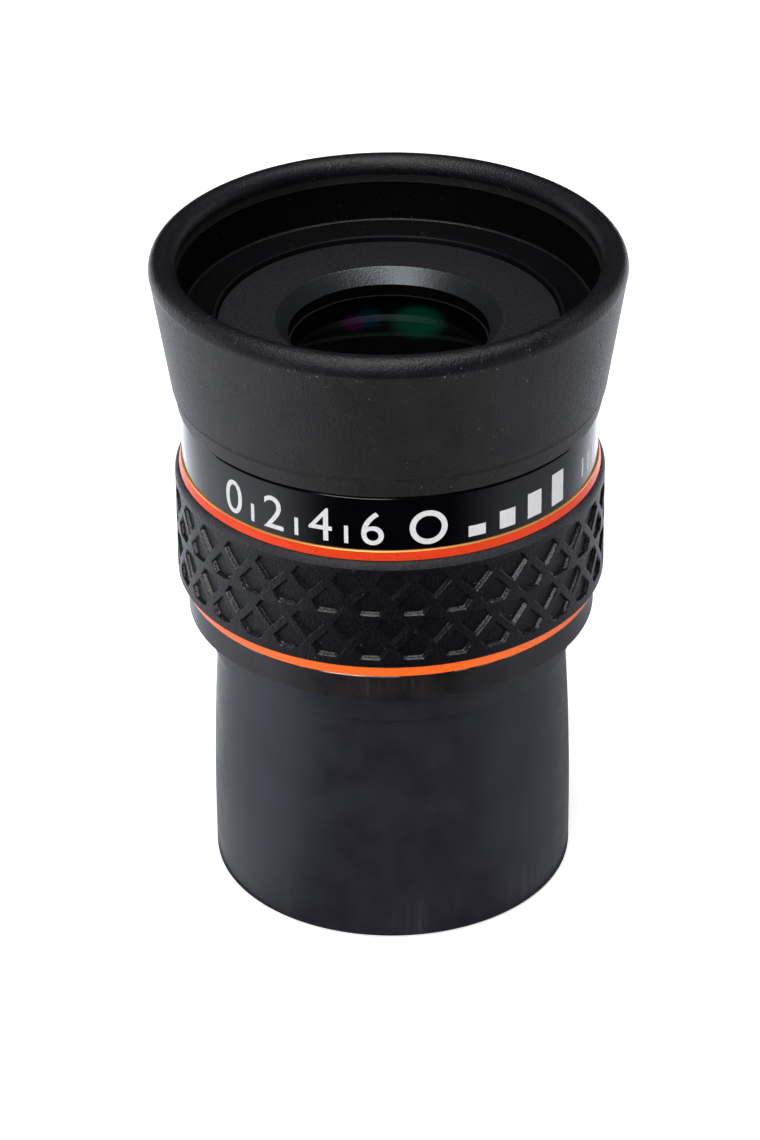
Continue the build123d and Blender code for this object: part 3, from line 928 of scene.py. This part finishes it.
def white_glow(name, grey, glow):
    nodes = Nodes(name)
    nodes.set(Base_Color=(grey, grey, grey, 1), Roughness=0.9, Specular_IOR_Level=0.0,
              Emission_Color=(1, 1, 1, 1), Emission_Strength=glow)
    return nodes.material


def studio():
    """A white floor and a white surround that only the camera sees, so it lights nothing."""
    bm = bmesh.new()
    bmesh.ops.create_grid(bm, x_segments=1, y_segments=1, size=FLOOR_SIZE)
    floor = stage_piece("floor_white", bm, white_glow("floor_white", 0.92, FLOOR_GLOW))
    floor.location.z = cad_box[0][2] - FLOOR_DROP
    hide_from(floor, ["glossy"])
    bm = bmesh.new()
    bmesh.ops.create_uvsphere(bm, u_segments=48, v_segments=24, radius=SURROUND_R)
    surround = stage_piece("surround_white", bm, white_glow("surround_white", 0, 1.0))
    hide_from(surround, ["diffuse", "glossy", "transmission", "volume_scatter", "shadow"])


CARD_R = (16.4, 320.0)
CARD_Z = 0.02
CARD_STEPS = 96
CARD_GLOW = (0.86, 0.89, 1)
CARD_FAR = (45, 85)      # between these radii the card goes from its near tone to its far one


def card_material():
    """Glow of the reflection card, by angle from the front and distance from the axis."""
    nodes = Nodes("reflection_card")
    x, y = nodes.axes()["X"], nodes.axes()["Y"]
    angle = nodes.math("ARCTAN2", nodes.math("ABSOLUTE", x), nodes.math("MULTIPLY", y, -1))
    reach = nodes.math("SQRT", nodes.math("ADD", nodes.math("POWER", x, 2), nodes.math("POWER", y, 2)))

    def rise(start, end, share):
        return nodes.between(angle, 0, share, math.radians(start), math.radians(end), "SMOOTHSTEP")

    far = nodes.between(reach, 0, 1, *CARD_FAR, "SMOOTHSTEP")
    side = nodes.math("ADD", rise(25, 65, 0.75), nodes.math("MULTIPLY", rise(35, 70, 0.45), far))
    left = nodes.math("ADD", side, rise(110, 165, 1.45))
    back = nodes.math("MULTIPLY", rise(100, 150, 1), nodes.math("MULTIPLY", far, 1.6))
    right = nodes.math("ADD", nodes.math("MULTIPLY", side, 0.5), nodes.math("ADD", back, rise(140, 180, 0.8)))
    on_right = nodes.math("GREATER_THAN", x, 0)
    strength = nodes.add("ShaderNodeMix", {0: on_right, 2: left, 3: right}).outputs[0]
    nodes.set(Base_Color=(0, 0, 0, 1), Specular_IOR_Level=0.0, Emission_Color=(*CARD_GLOW, 1),
              Emission_Strength=strength)
    return nodes.material


def reflection_card():
    """Floor card that only reflections see: white at the back and sides, dark in front."""
    bm = bmesh.new()
    turn(bm, [(CARD_R[0], CARD_Z), (CARD_R[1], CARD_Z)], steps=CARD_STEPS, closed=False)
    bmesh.ops.scale(bm, vec=(MM, MM, MM), verts=bm.verts)
    card = stage_piece("reflection_card", bm, card_material())
    hide_from(card, ["camera", "diffuse", "transmission", "volume_scatter", "shadow"])


WHITE = (1, 1, 1)
COOL_WHITE = (0.93, 0.95, 1)
LIGHT_TARGET = (0, 0, 0.04)
WORLD_GLOW = 0.02

# Soft boxes: name, place and size in metres, radiance, colour.
SOFT_BOXES = (
    ("top_box", (0, -0.05, 0.70), (0.45, 0.45), 6.0, WHITE),
    ("front_box", (-0.30, -0.80, 0.78), (0.62, 0.62), 5.0, WHITE),
    ("left_box", (-0.6, 0.30, 0.02), (0.35, 0.45), 3.0, COOL_WHITE),
    ("right_box", (0.6, 0.35, 0.02), (0.35, 0.45), 2.2, COOL_WHITE),
)


def soft_box(name, place, size, radiance, colour):
    data = bpy.data.lights.new(name, "AREA")
    data.shape = "RECTANGLE"
    data.size, data.size_y = size
    data.energy = radiance * math.pi * size[0] * size[1]
    data.color = colour
    item = bpy.data.objects.new(name, data)
    item.location = place
    item.rotation_euler = (Vector(LIGHT_TARGET) - Vector(place)).to_track_quat("-Z", "Y").to_euler()
    item.visible_camera = False
    bpy.context.scene.collection.objects.link(item)


def lights():
    for box in SOFT_BOXES:
        soft_box(*box)
    world = bpy.data.worlds.new("world")
    bpy.context.scene.world = world
    world.use_nodes = True
    background = world.node_tree.nodes["Background"]
    background.inputs["Color"].default_value = (*WHITE, 1)
    background.inputs["Strength"].default_value = WORLD_GLOW
    bpy.context.scene.view_settings.view_transform = "Standard"


eyecup()
grip()
trim_rings()
band()
marks()
body_shell()
barrel()
eye_cap()
eye_lens()
carrier()
cad_finishes()
camera()
studio()
reflection_card()
lights()
